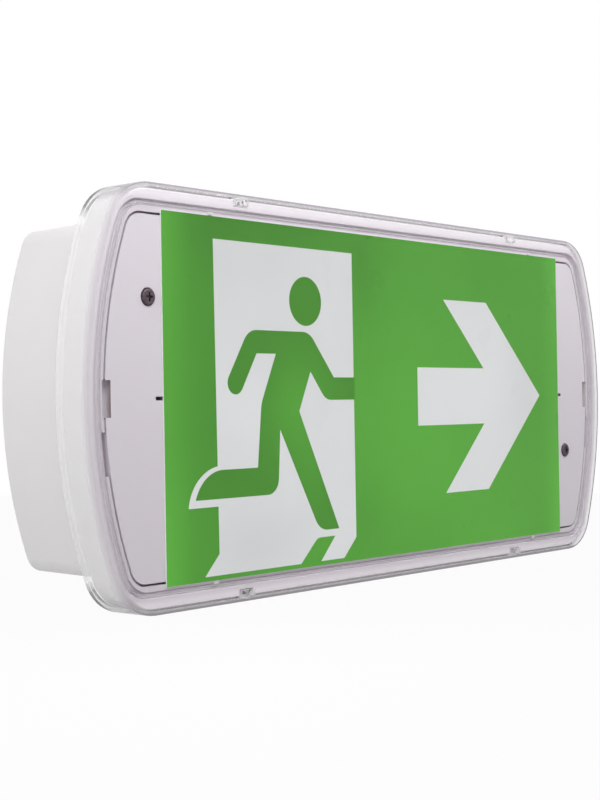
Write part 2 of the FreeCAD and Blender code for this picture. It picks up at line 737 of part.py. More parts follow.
def make_tray():
    """White gear tray: flat face with an edge wall behind it and the recessed light box."""
    body = new_body("gear_tray")
    plate = new_sketch(body, "plate", PLATE_BACK)
    tray_outline(plate)
    pad(body, plate, "size.tray_plate")
    edge_wall = new_sketch(body, "edge_wall", FLANGE_TOP)
    tray_outline(edge_wall)
    tray_outline(edge_wall, "size.tray_edge_wall")
    pad(body, edge_wall, "%s - %s" % (PLATE_BACK, FLANGE_TOP))

    # light box: walls that lean inwards to the floor
    def box_sketch(name, height, growth):
        sketch = new_sketch(body, name, height)
        rectangle(sketch, "0", "0", "2 * (%s + %s)" % (BOX_LENGTH, growth),
                  "2 * (%s + %s)" % (BOX_HEIGHT, growth))
        return sketch

    outer_floor = box_sketch("box_outer_floor", BOX_BACK, "size.light_box_wall - size.light_box_draft")
    outer_mouth = box_sketch("box_outer_mouth", PLATE_BACK, "size.light_box_wall")
    loft(body, "AdditiveLoft", outer_floor, outer_mouth)
    inner_floor = box_sketch("box_inner_floor", BOX_FLOOR, "-size.light_box_draft")
    inner_mouth = box_sketch("box_inner_mouth", LEDGE_TOP, "0")
    loft(body, "SubtractiveLoft", inner_floor, inner_mouth)

    # posts behind the light box for the driver board
    posts = new_sketch(body, "driver_posts", DRIVER_TOP)
    for x, z in DRIVER_HOLES:
        circle(posts, x, z, "size.driver_post")
        circle(posts, x, z, SMALL_HOLE)
    pad(body, posts, "size.driver_post_height")

    # holes of the floor: for the LED board screws, the clip screws and the wires
    floor_holes = new_sketch(body, "floor_holes", BOX_FLOOR)
    for _, z in LED_ROWS:
        for x in LED_SCREW_PLACES:
            circle(floor_holes, x, z, SMALL_HOLE)
    for _, x in CLIPS:
        circle(floor_holes, x, BATTERY_Z, SMALL_HOLE)
    rectangle(floor_holes, "0", "0", "size.wire_slot_length", "size.wire_slot_width")
    pocket(body, floor_holes, "size.light_box_wall")

    # face: sunk screw holes, slits for the pegs of the legend, and the two end slots
    sinks = new_sketch(body, "screw_sinks", LEDGE_TOP)
    holes = new_sketch(body, "screw_holes", SCREW_SEAT)
    for _, x, z in TRAY_SCREWS:
        circle(sinks, x, z, "size.tray_screw_head + 2 * size.screw_clearance")
        circle(holes, x, z, "size.tray_screw_shank + 2 * size.screw_clearance")
    pocket(body, sinks, "size.screw_sink")
    pocket(body, holes, "size.tray_plate - size.screw_sink")
    slot_floors = new_sketch(body, "end_slot_floors", FLANGE_TOP)
    floor_depth = "(size.end_slot_depth + size.end_slot_wall)"
    openings = new_sketch(body, "peg_slits", LEDGE_TOP)
    end_slots = new_sketch(body, "end_slots", LEDGE_TOP)
    slit_inner = "(%s - size.peg_inset - size.peg_length - size.peg_clearance)" % LEGEND_LENGTH
    slit_outer = "(%s + size.peg_slit_reach)" % LEGEND_LENGTH
    for side in (-1, 1):
        rectangle(openings, "%d * (%s + %s) / 2" % (side, slit_inner, slit_outer), "0",
                  "%s - %s" % (slit_outer, slit_inner), "size.peg_width + 2 * size.peg_clearance")
        rectangle(slot_floors, "%d * (%s - (%s + size.tray_edge_wall / 2) / 2)"
                  % (side, TRAY_LENGTH, floor_depth), "0",
                  "%s - size.tray_edge_wall / 2" % floor_depth,
                  "2 * (size.end_slot_half_height + size.end_slot_wall)")
        rectangle(end_slots, "%d * %s" % (side, TRAY_LENGTH), "0",
                  "2 * size.end_slot_depth", "2 * size.end_slot_half_height")
    pad(body, slot_floors, "%s - %s" % (PLATE_BACK, FLANGE_TOP))
    pocket(body, openings, "%s - %s" % (LEDGE_TOP, FLANGE_TOP))
    pocket(body, end_slots, "size.end_slot_sink")
    return body


def make_legend():
    """Thin translucent panel that carries the printed sign, with a locating peg at each end."""
    body = new_body("legend_panel")
    panel = new_sketch(body, "panel", LEDGE_TOP)
    rectangle(panel, "0", "0", "2 * %s" % LEGEND_LENGTH, "2 * %s" % LEGEND_HEIGHT)
    pad(body, panel, "size.legend_thickness")
    pegs = new_sketch(body, "pegs", "%s - size.peg_depth" % LEDGE_TOP)
    for side in (-1, 1):
        rectangle(pegs, "%d * (%s - size.peg_inset - size.peg_length / 2)" % (side, LEGEND_LENGTH),
                  "0", "size.peg_length", "size.peg_width")
    pad(body, pegs, "size.peg_depth")
    return body


def make_tray_screw(side, x, z):
    """Pan-head screw with a cross recess."""
    body = new_body("tray_screw_%s" % side)
    shank = new_sketch(body, "shank", "%s - size.tray_screw_length" % PLATE_BACK)
    circle(shank, x, z, "size.tray_screw_shank")
    pad(body, shank, "%s - %s + size.tray_screw_length" % (SCREW_SEAT, PLATE_BACK))
    head = new_sketch(body, "head", SCREW_SEAT)
    circle(head, x, z, "size.tray_screw_head")
    pad(body, head, "size.tray_screw_head_height")
    top_height = "(%s + size.tray_screw_head_height)" % SCREW_SEAT
    top = value(top_height)
    round_edges(body, "size.tray_screw_head_radius", lambda edge: lies_at(edge, top))
    arms = (("flat", "size.cross_span", "size.cross_width"),
            ("upright", "size.cross_width", "size.cross_span"))
    for name, width, height in arms:
        recess = new_sketch(body, "recess_" + name, top_height)
        rectangle(recess, x, z, width, height)
        pocket(body, recess, "size.cross_depth")
    return body


def make_led_board(row, z):
    """Aluminium-core board with three screw holes."""
    body = new_body("led_board_%s" % row)
    board = new_sketch(body, "board", BOX_FLOOR)
    rectangle(board, "0", z, "2 * %s" % BOARD_LENGTH, "size.led_board_width")
    for x in LED_SCREW_PLACES:
        circle(board, x, z, SMALL_HOLE)
    pad(body, board, "size.led_board_thickness")
    return body


def make_leds(row, z):
    """A row of LEDs soldered to a board at one pitch."""
    body = new_body("leds_%s" % row)
    base = "(%s + size.led_board_thickness)" % BOX_FLOOR
    chip = new_sketch(body, "chip", base)
    rectangle(chip, "size.led_end_inset - %s" % BOARD_LENGTH, z, "size.led_length", "size.led_width")
    pad(body, chip, "size.led_height")
    pattern = body.newObject("PartDesign::LinearPattern", "leds_%s_row" % row)
    pattern.Originals = [body.Tip]
    pattern.Direction = (chip, ["H_Axis"])
    pattern.Occurrences = LEDS
    bind(pattern, "Length", "2 * (%s - size.led_end_inset)" % BOARD_LENGTH)
    finish_feature(body, pattern, True)
    return body


def make_driver_board():
    body = new_body("driver_board")
    board = new_sketch(body, "board", DRIVER_FACE)
    rectangle(board, "0", DRIVER_Z, "size.driver_length", "size.driver_width")
    for x, z in DRIVER_HOLES:
        circle(board, x, z, SMALL_HOLE)
    pad(body, board, "size.driver_thickness")
    return body


def make_transformer():
    """Isolating transformer: a wound bobbin inside a ferrite core."""
    body = new_body("isolating_transformer")
    base = "(%s - size.transformer_height)" % DRIVER_FACE
    bobbin = new_sketch(body, "bobbin", base)
    rectangle(bobbin, "size.transformer_x", DRIVER_Z,
              "size.transformer_length - 2 * size.core_lip", "size.transformer_width")
    pad(body, bobbin, "size.transformer_height")
    core = new_sketch(body, "core", "%s + size.core_lip" % base)
    rectangle(core, "size.transformer_x", DRIVER_Z, "size.transformer_length",
              "size.core_width")
    pad(body, core, "size.transformer_height - 2 * size.core_lip")
    return body


def make_choke():
    """Mains filter choke: a drum with a wound waist."""
    base = "(%s - size.choke_height)" % DRIVER_FACE
    waist = cylinder("choke_waist", CHOKE_X, DRIVER_Z, base,
                     "size.choke_waist", "size.choke_height")
    ends = []
    for name, height in (("outer", base), ("inner", "%s - size.choke_flange" % DRIVER_FACE)):
        ends.append(cylinder("choke_%s_flange" % name, CHOKE_X, DRIVER_Z, height,
                             "size.choke_diameter", "size.choke_flange"))
    return fuse("driver_choke", [waist] + ends)


def make_capacitors():
    """Two electrolytic capacitors side by side."""
    cans = []
    for side in (-1, 1):
        name = "capacitor_%s" % ("lower" if side < 0 else "upper")
        can = cylinder(name, "size.capacitor_x",
                       "%s + %d * size.capacitor_pitch / 2" % (DRIVER_Z, side),
                       "%s - size.capacitor_height" % DRIVER_FACE,
                       "size.capacitor_diameter", "size.capacitor_height")
        cans.append(can)
    group = doc.addObject("Part::Compound", "smoothing_capacitors")
    group.Label = "smoothing_capacitors"
    group.Links = cans
    return group


def make_sockets():
    """Three open pin headers for the mains, battery and LED leads."""
    body = new_body("board_sockets")
    base = "(%s - size.socket_height)" % DRIVER_FACE
    shells = new_sketch(body, "shells", base)
    cavities = new_sketch(body, "cavities", "%s - size.socket_wall" % DRIVER_FACE)
    for number in range(SOCKETS):
        z = "%s + %d * size.socket_pitch" % (DRIVER_Z, number - SOCKETS // 2)
        rectangle(shells, SOCKET_X, z, "size.socket_width", "size.socket_length")
        rectangle(cavities, SOCKET_X, z, "size.socket_width - 2 * size.socket_wall",
                  "size.socket_length - 2 * size.socket_wall")
    pad(body, shells, "size.socket_height")
    pocket(body, cavities, "size.socket_height - size.socket_wall")
    return body


def make_battery():
    """Stick of cells in one shrink sleeve, which draws in a little between the cells."""
    lying = FreeCAD.Rotation(FreeCAD.Vector(0, 1, 0), 90)
    total = "(%d * size.cell_length + %d * size.cell_neck)" % (CELLS, CELLS - 1)

    def lying_cylinder(name, start, radius, length):
        thing = doc.addObject("Part::Cylinder", name)
        bind(thing, "Radius", radius)
        bind(thing, "Height", length)
        thing.Placement = FreeCAD.Placement(FreeCAD.Vector(), lying)
        bind(thing, "Placement.Base.x", start)
        bind(thing, "Placement.Base.y", "-(%s)" % BATTERY_AXIS)
        bind(thing, "Placement.Base.z", BATTERY_Z)
        return thing

    cells = [lying_cylinder("battery_sleeve", "-%s / 2" % total,
                            "size.cell_diameter / 2 - size.cell_neck_depth", total)]
    for number in range(CELLS):
        start = "-%s / 2 + %d * (size.cell_length + size.cell_neck)" % (total, number)
        cells.append(lying_cylinder("cell_%d" % (number + 1), start, "size.cell_diameter / 2",
                                    "size.cell_length"))
    return fuse("battery_pack", cells)


def make_battery_clip(side, x):
    """Moulded clip: a ring open towards the wall on a foot that is screwed to the light box."""
    body = new_body("battery_clip_%s" % side)
    start = "%s - size.clip_width / 2" % x
    bore = "(size.cell_diameter + 2 * size.clip_gap)"
    ring = "(%s + 2 * size.clip_wall)" % bore
    foot_thickness = "(%s - %s)" % (BOX_BACK, BATTERY_AXIS)
    blank = new_sketch(body, "ring", start, "YZ_Plane")
    circle(blank, "-%s" % BATTERY_AXIS, BATTERY_Z, ring)
    pad(body, blank, "size.clip_width")
    foot = new_sketch(body, "foot", start, "YZ_Plane")
    rectangle(foot, "-(%s + %s / 2)" % (BATTERY_AXIS, foot_thickness), BATTERY_Z,
              foot_thickness, "size.clip_base_width")
    pad(body, foot, "size.clip_width")
    hollow = new_sketch(body, "bore", "%s + size.clip_width / 2" % x, "YZ_Plane")
    circle(hollow, "-%s" % BATTERY_AXIS, BATTERY_Z, bore)
    pocket(body, hollow, "size.clip_width")
    mouth = new_sketch(body, "mouth", "%s + size.clip_width / 2" % x, "YZ_Plane")
    rectangle(mouth, "-(%s - %s / 2)" % (BATTERY_AXIS, ring), BATTERY_Z,
              "%s / 2" % ring, "size.clip_mouth")
    pocket(body, mouth, "size.clip_width")
    screw_hole = new_sketch(body, "screw_hole", BOX_BACK)
    circle(screw_hole, x, BATTERY_Z, SMALL_HOLE)
    pocket(body, screw_hole, "size.clip_screw_bite + size.screw_clearance")
    return body


def make_terminal_block():
    """Four-way terminal block with a wire hole across each way and two fixing holes."""
    body = new_body("mains_terminal_block")
    block = new_sketch(body, "block", PEDESTAL)
    rectangle(block, TERMINAL_X, "0", "size.terminal_width", "size.terminal_length")
    pad(body, block, "size.terminal_height")
    clamps = new_sketch(body, "clamp_holes", TERMINAL_TOP)
    wires = new_sketch(body, "wire_holes", "%s + size.terminal_width / 2" % TERMINAL_X, "YZ_Plane")
    for number in range(WAYS):
        z = "(%s * size.terminal_pitch)" % (number - (WAYS - 1) / 2)
        circle(clamps, TERMINAL_X, z, "size.terminal_hole")
        circle(wires, "-(%s + size.terminal_wire_height)" % PEDESTAL, z, "size.terminal_wire_hole")
    pocket(body, clamps, "size.terminal_hole_depth")
    pocket(body, wires, "size.terminal_width")
    sinks = new_sketch(body, "fixing_sinks", TERMINAL_TOP)
    holes = new_sketch(body, "fixing_holes", "%s - size.terminal_sink" % TERMINAL_TOP)
    for x, z in TERMINAL_FIXINGS:
        circle(sinks, x, z, "size.small_screw_head + size.screw_clearance")
        circle(holes, x, z, SMALL_HOLE)
    pocket(body, sinks, "size.terminal_sink")
    pocket(body, holes, "size.terminal_height - size.terminal_sink")
    return body


def make_clamp_screws():
    """One headless slotted screw in each way of the terminal block."""
    base = "(%s - size.terminal_hole_depth)" % TERMINAL_TOP
    screws = []
    for number in range(WAYS):
        z = "(%s * size.terminal_pitch)" % (number - (WAYS - 1) / 2)
        name = "clamp_screw_%d" % (number + 1)
        blank = cylinder(name + "_blank", TERMINAL_X, z, base, "size.clamp_screw",
                         "size.clamp_screw_length")
        slot = doc.addObject("Part::Box", name + "_slot")
        bind(slot, "Length", "size.clamp_screw")
        bind(slot, "Width", "size.small_screw_slot")
        bind(slot, "Height", "size.small_screw_slot_depth")
        along_wall_normal(slot, "%s - size.clamp_screw / 2" % TERMINAL_X,
                          "%s - size.small_screw_slot / 2" % z,
                          "%s + size.clamp_screw_length - size.small_screw_slot_depth" % base)
        screw = doc.addObject("Part::Cut", name)
        screw.Base = blank
        screw.Tool = slot
        screws.append(screw)
    group = doc.addObject("Part::Compound", "terminal_clamp_screws")
    group.Label = "terminal_clamp_screws"
    group.Links = screws
    return group


def make_grommet():
    """Rubber grommet: a cup in the cable entry with a flange on the collar and a pierced floor."""
    body = new_body("entry_grommet")
    cup = "(size.entry_hole - 2 * size.grommet_gap)"
    plug = new_sketch(body, "plug")
    circle(plug, ENTRY_X, "0", cup)
    pad(body, plug, ENTRY_COLLAR)
    flange = new_sketch(body, "flange", ENTRY_COLLAR)
    circle(flange, ENTRY_X, "0", "size.entry_hole + 2 * size.grommet_flange_lip")
    pad(body, flange, "size.grommet_flange")
    hollow = new_sketch(body, "hollow", "%s - size.grommet_membrane" % ENTRY_COLLAR)
    circle(hollow, ENTRY_X, "0", "%s - 2 * size.grommet_wall" % cup)
    pocket(body, hollow, "%s - size.grommet_membrane" % ENTRY_COLLAR)
    hole = new_sketch(body, "hole", "%s + size.grommet_flange" % ENTRY_COLLAR)
    circle(hole, ENTRY_X, "0", "size.grommet_hole")
    pocket(body, hole, "size.grommet_flange + size.grommet_membrane")
    return body


def build_all():
    """Every piece, in the order in which the light goes together."""
    pieces = [make_housing(), make_gasket(), make_cover(), make_tray(), make_legend()]
    pieces += [make_tray_screw(side, x, z) for side, x, z in TRAY_SCREWS]
    for row, z in LED_ROWS:
        pieces += [make_led_board(row, z), make_leds(row, z)]
    board_face = "(%s + size.led_board_thickness)" % BOX_FLOOR
    led_places = [(x, z) for _, z in LED_ROWS for x in LED_SCREW_PLACES]
    pieces.append(screw_group("led_board_screws", led_places, board_face,
                              "(size.led_board_thickness + size.light_box_wall)"))
    pieces += [make_driver_board(), make_transformer(), make_choke(), make_capacitors(),
               make_sockets()]
    pieces.append(screw_group("driver_board_screws", DRIVER_HOLES, DRIVER_FACE,
                              "size.driver_screw_length", towards_wall=False))
    pieces.append(make_battery())
    pieces += [make_battery_clip(side, x) for side, x in CLIPS]
    clip_places = [(x, BATTERY_Z) for _, x in CLIPS]
    pieces.append(screw_group("battery_clip_screws", clip_places, BOX_FLOOR,
                              "(size.light_box_wall + size.clip_screw_bite)"))
    pieces += [make_terminal_block(), make_clamp_screws()]
    pieces.append(screw_group("terminal_fixing_screws", TERMINAL_FIXINGS,
                              "(%s - size.terminal_sink)" % TERMINAL_TOP,
                              "(size.terminal_height - size.terminal_sink + size.tub_back)"))
    pieces.append(make_grommet())
    return pieces


def write_all(pieces):
    """Checks the whole document, then writes one STEP file for each piece."""
    doc.removeObject(working_sheet.Name)
    doc.recompute()
    for thing in doc.Objects:
        if "Invalid" in thing.State or "Error" in thing.State:
            raise RuntimeError("%s failed: %s" % (thing.Label, thing.State))
    os.makedirs("parts", exist_ok=True)
    for piece in pieces:
        shape = piece.Shape
        if shape.isNull() or not shape.isValid() or not shape.Solids:
            raise RuntimeError("%s has no valid shape" % piece.Label)
    for piece in pieces:
        piece.Shape.exportStep("parts/%s.step" % piece.Label)
        print("%-24s %2d solid(s)" % (piece.Label, len(piece.Shape.Solids)))


write_all(build_all())
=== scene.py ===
"""Looks of the surface-mounted exit light: its materials, the printed sign, camera and light.

The part's frame is kept: x to the right, y away from the viewer, z up, in metres.
"""

import math

import bmesh
import bpy
from mathutils import Matrix, Vector


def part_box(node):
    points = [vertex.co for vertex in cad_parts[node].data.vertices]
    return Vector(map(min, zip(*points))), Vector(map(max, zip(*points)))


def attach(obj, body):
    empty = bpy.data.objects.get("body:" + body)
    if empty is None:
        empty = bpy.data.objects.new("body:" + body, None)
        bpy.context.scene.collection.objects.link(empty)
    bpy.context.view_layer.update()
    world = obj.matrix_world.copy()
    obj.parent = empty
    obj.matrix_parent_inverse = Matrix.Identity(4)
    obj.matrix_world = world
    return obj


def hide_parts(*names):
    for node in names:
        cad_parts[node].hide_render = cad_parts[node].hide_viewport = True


MM = 0.001
ROOT = "fitting"

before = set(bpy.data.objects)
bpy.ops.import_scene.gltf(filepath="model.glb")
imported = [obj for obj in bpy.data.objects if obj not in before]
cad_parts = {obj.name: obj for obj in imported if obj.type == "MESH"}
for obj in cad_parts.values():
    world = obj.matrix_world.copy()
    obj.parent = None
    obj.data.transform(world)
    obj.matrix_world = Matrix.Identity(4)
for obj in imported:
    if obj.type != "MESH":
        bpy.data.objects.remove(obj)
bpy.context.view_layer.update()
scene = bpy.context.scene


def add_object(name, data):
    made = bpy.data.objects.new(name, data)
    scene.collection.objects.link(made)
    return made


# ---------------------------------------------------------------- node helpers

class Nodes:
    """Short calls for the nodes that the materials and the sky here use."""

    def __init__(self, tree):
        self.tree = tree

    def node(self, kind, **settings):
        made = self.tree.nodes.new("ShaderNode" + kind)
        for key, setting in settings.items():
            setattr(made, key, setting)
        return made

    def link(self, source, target):
        self.tree.links.new(source, target)

    def coordinates(self, kind):
        return self.node("TexCoord").outputs[kind]

    def axes(self, vector):
        """The x, y and z of a vector."""
        split = self.node("SeparateXYZ")
        self.link(vector, split.inputs[0])
        return [split.outputs[axis] for axis in "XYZ"]

    def maths(self, operation, first, second=0.0, third=0.0, clamp=False):
        made = self.node("Math", operation=operation, use_clamp=clamp)
        for index, term in enumerate((first, second, third)):
            if isinstance(term, (int, float)):
                made.inputs[index].default_value = term
            else:
                self.link(term, made.inputs[index])
        return made.outputs[0]

    def absolute(self, value):
        return self.maths("ABSOLUTE", value)

    def product(self, first, *others):
        for other in others:
            first = self.maths("MULTIPLY", first, other)
        return first

    def ramp(self, value, low, high, start, stop, smooth=False):
        """Turns a value between start and stop into one between low and high."""
        made = self.node("MapRange")
        if smooth:
            made.interpolation_type = "SMOOTHSTEP"
        settings = {"From Min": start, "From Max": stop, "To Min": low, "To Max": high}
        for key, number in settings.items():
            made.inputs[key].default_value = number
        self.link(value, made.inputs["Value"])
        return made.outputs["Result"]

    def rise(self, value, start, stop, smooth=False):
        """0 up to start, 1 from stop on."""
        return self.ramp(value, 0.0, 1.0, start, stop, smooth)

    def fall(self, value, start, stop, smooth=False):
        """1 up to start, 0 from stop on."""
        return self.ramp(value, 1.0, 0.0, start, stop, smooth)

    def seen_directly(self):
        """1 for rays from the camera, off a mirror or through glass, else 0."""
        path = self.node("LightPath")
        mirrored = self.maths("MAXIMUM", path.outputs["Is Camera Ray"],
                              path.outputs["Is Glossy Ray"])
        return self.maths("MAXIMUM", mirrored, path.outputs["Is Transmission Ray"])


class Material(Nodes):
    """A node material with one Principled shader."""

    def __init__(self, name):
        self.material = bpy.data.materials.new(name)
        self.material.use_nodes = True
        super().__init__(self.material.node_tree)
        self.shader = self.tree.nodes["Principled BSDF"]
        self.output = self.tree.nodes["Material Output"]

    def noise(self, scale, detail=2.0, roughness=0.5):
        """Noise that stays with the piece; its scale is per metre."""
        made = self.node("TexNoise")
        made.inputs["Scale"].default_value = scale
        made.inputs["Detail"].default_value = detail
        made.inputs["Roughness"].default_value = roughness
        self.link(self.coordinates("Object"), made.inputs["Vector"])
        return made.outputs["Fac"]

    def patchy(self, noise, low, high):
        """The middle of the noise's range, spread between two values."""
        return self.ramp(noise, low, high, 0.3, 0.7)

    def mix(self, factor, first, second):
        """A colour between two; each is a colour or a socket."""
        made = self.node("Mix", data_type="RGBA")
        self.link(factor, made.inputs["Factor"])
        colours = [socket for socket in made.inputs if socket.type == "RGBA"]
        for socket, colour in zip(colours, (first, second)):
            if isinstance(colour, (tuple, list)):
                socket.default_value = (*colour, 1.0)
            else:
                self.link(colour, socket)
        return [socket for socket in made.outputs if socket.type == "RGBA"][0]

    def tint(self, factor, colour):
        """Leads the base colour over to another where the factor is 1."""
        target = self.shader.inputs["Base Color"]
        self.link(self.mix(factor, target.links[0].from_socket, colour), target)

    def bump(self, height, strength, distance):
        made = self.node("Bump")
        made.inputs["Strength"].default_value = strength
        made.inputs["Distance"].default_value = distance
        self.link(height, made.inputs["Height"])
        self.link(made.outputs["Normal"], self.shader.inputs["Normal"])

    def surface(self, share, first, second):
        """Shows the first shader where the share is 0 and the second where it is 1."""
        chooser = self.node("MixShader")
        for socket, source in zip(chooser.inputs, (share, first.outputs[0], second.outputs[0])):
            self.link(source, socket)
        self.link(chooser.outputs[0], self.output.inputs["Surface"])

    def set(self, **numbers):
        for key, number in numbers.items():
            self.shader.inputs[key.replace("_", " ")].default_value = number


def linear(*screen):
    """Linear colour of a screen colour given from 0 to 255."""
    parts = [part / 255.0 for part in screen]
    return tuple(p / 12.92 if p <= 0.04045 else ((p + 0.055) / 1.055) ** 2.4 for p in parts)


def scaled(colour, factor):
    return tuple(part * factor for part in colour)


def moulded(name, colour, roughness=0.45, mottle=0.03, grain=1800.0, depth=0.01 * MM, gloss=0.5):
    """Moulded plastic: a faint cloudiness in the colour, a fine spark-eroded grain."""
    made = Material(name)
    cloud = made.noise(scale=14.0, detail=3.0)
    shade = made.mix(made.patchy(cloud, 0.0, 1.0), scaled(colour, 1 - mottle), colour)
    made.link(shade, made.shader.inputs["Base Color"])
    rough = made.patchy(made.noise(scale=60.0), roughness - 0.04, roughness + 0.04)
    made.link(rough, made.shader.inputs["Roughness"])
    made.bump(made.noise(grain, roughness=0.6), strength=0.35, distance=depth)
    made.set(Specular_IOR_Level=gloss)
    return made


def metal(name, colour, roughness=0.35):
    """Plated or bare metal with fine scratches and a patchy shine."""
    made = Material(name)
    patch = made.noise(scale=220.0, detail=4.0, roughness=0.6)
    shade = made.mix(made.patchy(patch, 0.0, 1.0), scaled(colour, 0.75), colour)
    made.link(shade, made.shader.inputs["Base Color"])
    rough = made.patchy(made.noise(scale=500.0, detail=3.0), roughness - 0.1, roughness + 0.12)
    made.link(rough, made.shader.inputs["Roughness"])
    made.bump(made.noise(scale=900.0, detail=3.0), strength=0.3, distance=0.02 * MM)
    made.set(Metallic=1.0)
    return made


# ---------------------------------------------------------------- the printed sign

# Outlines are in millimetres from the middle of the legend: x, z and the corner's radius.
DOOR = [(-120.6, 65.6, 0), (-29.5, 65.6, 0), (-29.4, -64.2, 0), (-38.4, -73.0, 0),
        (-128.2, -73.0, 0), (-119.6, -64.2, 0)]
ARROW = [(20.0, 13.9, 0), (77.2, 13.9, 0), (42.4, 47.6, 0), (80.1, 47.6, 0), (130.7, -0.2, 0),
         (80.1, -48.0, 0), (42.4, -48.0, 0), (77.2, -14.3, 0), (20.0, -14.3, 0)]
FOOT_SHADOW = [(-68.3, -73.0, 0), (-56.8, -62.4, 5), (-44.6, -62.4, 0), (-54.7, -73.0, 0)]
HEAD_CENTRE = (-62.7, 42.2)
HEAD_RADIUS = 10.8
# in degrees; the outline closes itself from here to its first point at 0
HEAD_LAST_POINT = 354
FIELD_MARGIN = 0.15
# the trailing foot: the middle of its curve, the lowest edge of the sole and the curve's radius
LEG_CENTRE = (-116.7, -46.9)
SOLE_LEVEL = -41.6
FOOT_RADIUS = 17.2
# the white border round it: lower and upper end, and how far it reaches sideways
BORDER_LEVELS = (-44.7, -27.9)
BORDER_REACH = 20.6
BORDER_END_X = -100.0
# the hand of the trailing arm: its middle, and the arm's direction and breadth
HAND = Vector((-108.3, 6.2))
ALONG_ARM = Vector((-0.544, -0.84))
ACROSS_ARM = Vector((-0.84, 0.544))
HALF_ARM = 4.85
HAND_RADIUS = HALF_ARM - 0.05

# thickness of a layer of print, and the number of layers that each print lies over the panel
FILM = 0.05 * MM
FIELD_LEVEL = 0
WHITE_LEVEL = 1
BORDER_LEVEL = 1.5
FIGURE_LEVEL = 2.5
# angle between two points of an arc
ROUND_STEP = math.radians(6)


def arc(centre, radii, start, stop):
    """Points of an ellipse's arc between two angles in degrees, each with no rounding."""
    count = max(2, int(abs(stop - start) / math.degrees(ROUND_STEP)))
    points = []
    for number in range(count + 1):
        angle = math.radians(start + (stop - start) * number / count)
        points.append((centre[0] + radii[0] * math.cos(angle),
                       centre[1] + radii[1] * math.sin(angle), 0))
    return points


def rounded(corners):
    """The outline through corners (x, z, radius), with an arc in place of each rounded corner."""
    outline = []
    for number, (x, z, radius) in enumerate(corners):
        here = Vector((x, z))
        if radius == 0:
            outline.append(here)
            continue
        before = (Vector(corners[number - 1][:2]) - here).normalized()
        after = (Vector(corners[(number + 1) % len(corners)][:2]) - here).normalized()
        half = before.angle(after) / 2
        middle = here + (before + after).normalized() * radius / math.sin(half)
        first = here + before * radius / math.tan(half) - middle
        last = here + after * radius / math.tan(half) - middle
        turn = first.angle_signed(last)
        steps = max(2, int(abs(turn) / ROUND_STEP))
        for step in range(steps + 1):
            spun = Matrix.Rotation(-turn * step / steps, 2) @ first
            outline.append(middle + spun)
    return outline


def film(name, outline, level, finish):
    """A thin flat layer over the panel's face; its outline is in millimetres."""
    face_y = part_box("legend_panel")[0][1]
    back, front = face_y - level * FILM, face_y - (level + 1) * FILM
    mesh = bmesh.new()
    front_ring, back_ring = [[mesh.verts.new((p[0] * MM, depth, p[1] * MM)) for p in outline]
                             for depth in (front, back)]
    mesh.faces.new(front_ring)
    mesh.faces.new(list(reversed(back_ring)))
    count = len(outline)
    for number in range(count):
        following = (number + 1) % count
        mesh.faces.new((front_ring[following], front_ring[number],
                        back_ring[number], back_ring[following]))
    bmesh.ops.recalc_face_normals(mesh, faces=mesh.faces)
    bmesh.ops.triangulate(mesh, faces=[face for face in mesh.faces if len(face.verts) > 4])
    data = bpy.data.meshes.new(name)
    mesh.to_mesh(data)
    mesh.free()
    data.materials.append(finish.material)
    piece = add_object(name, data)
    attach(piece, ROOT)


def trailing_foot(radii, low):
    """The curved upper edge of the trailing foot, from the toe up to where it runs level."""
    start = 180 - math.degrees(math.asin((low - LEG_CENTRE[1]) / radii[1]))
    return arc(LEG_CENTRE, radii, start, 90)


def figure_outline():
    """The running figure without its head, from the left shoulder clockwise."""
    leading_arm = [(-100.0, 28.7, 9), (-60.4, 28.7, 9.5), (-43.8, 8.8, 0), (-29.0, 8.8, 0),
                   (-29.0, -1.3, 0), (-49.7, -1.3, 7.5), (-60.0, 11.3, 0)]
    legs = [(-68.0, -6.2, 0), (-41.7, -59.3, 0), (-55.3, -59.3, 9), (-80.8, -13.8, 0),
            (-82.6, SOLE_LEVEL, 7)]
    back = [(-95.4, -29.7, 0), (-92.6, -2.6, 12), (-82.8, 18.8, 0), (-95.1, 18.8, 0)]
    inner_hand = HAND + HALF_ARM * (ALONG_ARM - ACROSS_ARM)
    outer_hand = HAND + HALF_ARM * (ALONG_ARM + ACROSS_ARM)
    foot = trailing_foot((FOOT_RADIUS, FOOT_RADIUS), SOLE_LEVEL)
    hand = [(*inner_hand, HAND_RADIUS), (*outer_hand, HAND_RADIUS)]
    return rounded(leading_arm + legs + foot + back + hand)


def foot_border():
    """The white edge round the trailing foot, beyond the door."""
    low, high = BORDER_LEVELS
    curve = trailing_foot((BORDER_REACH, high - LEG_CENTRE[1]), low)
    return rounded([(BORDER_END_X, low, 0)] + curve + [(BORDER_END_X, high, 0)])


def make_sign(green, dark_green, white):
    """Green field, white door and arrow on it, and the green figure on the door."""
    far_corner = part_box("legend_panel")[1]
    length, height = far_corner[0] / MM - FIELD_MARGIN, far_corner[2] / MM - FIELD_MARGIN
    field = [Vector((x * length, z * height)) for x, z in ((-1, -1), (1, -1), (1, 1), (-1, 1))]
    head = arc(HEAD_CENTRE, (HEAD_RADIUS, HEAD_RADIUS), 0, HEAD_LAST_POINT)
    film("print_field", field, FIELD_LEVEL, green)
    film("print_door", rounded(DOOR), WHITE_LEVEL, white)
    film("print_foot_border", foot_border(), BORDER_LEVEL, white)
    film("print_arrow", rounded(ARROW), WHITE_LEVEL, white)
    film("print_figure", figure_outline(), FIGURE_LEVEL, dark_green)
    film("print_foot_shadow", rounded(FOOT_SHADOW), FIGURE_LEVEL, green)
    film("print_head", rounded(head), FIGURE_LEVEL, dark_green)


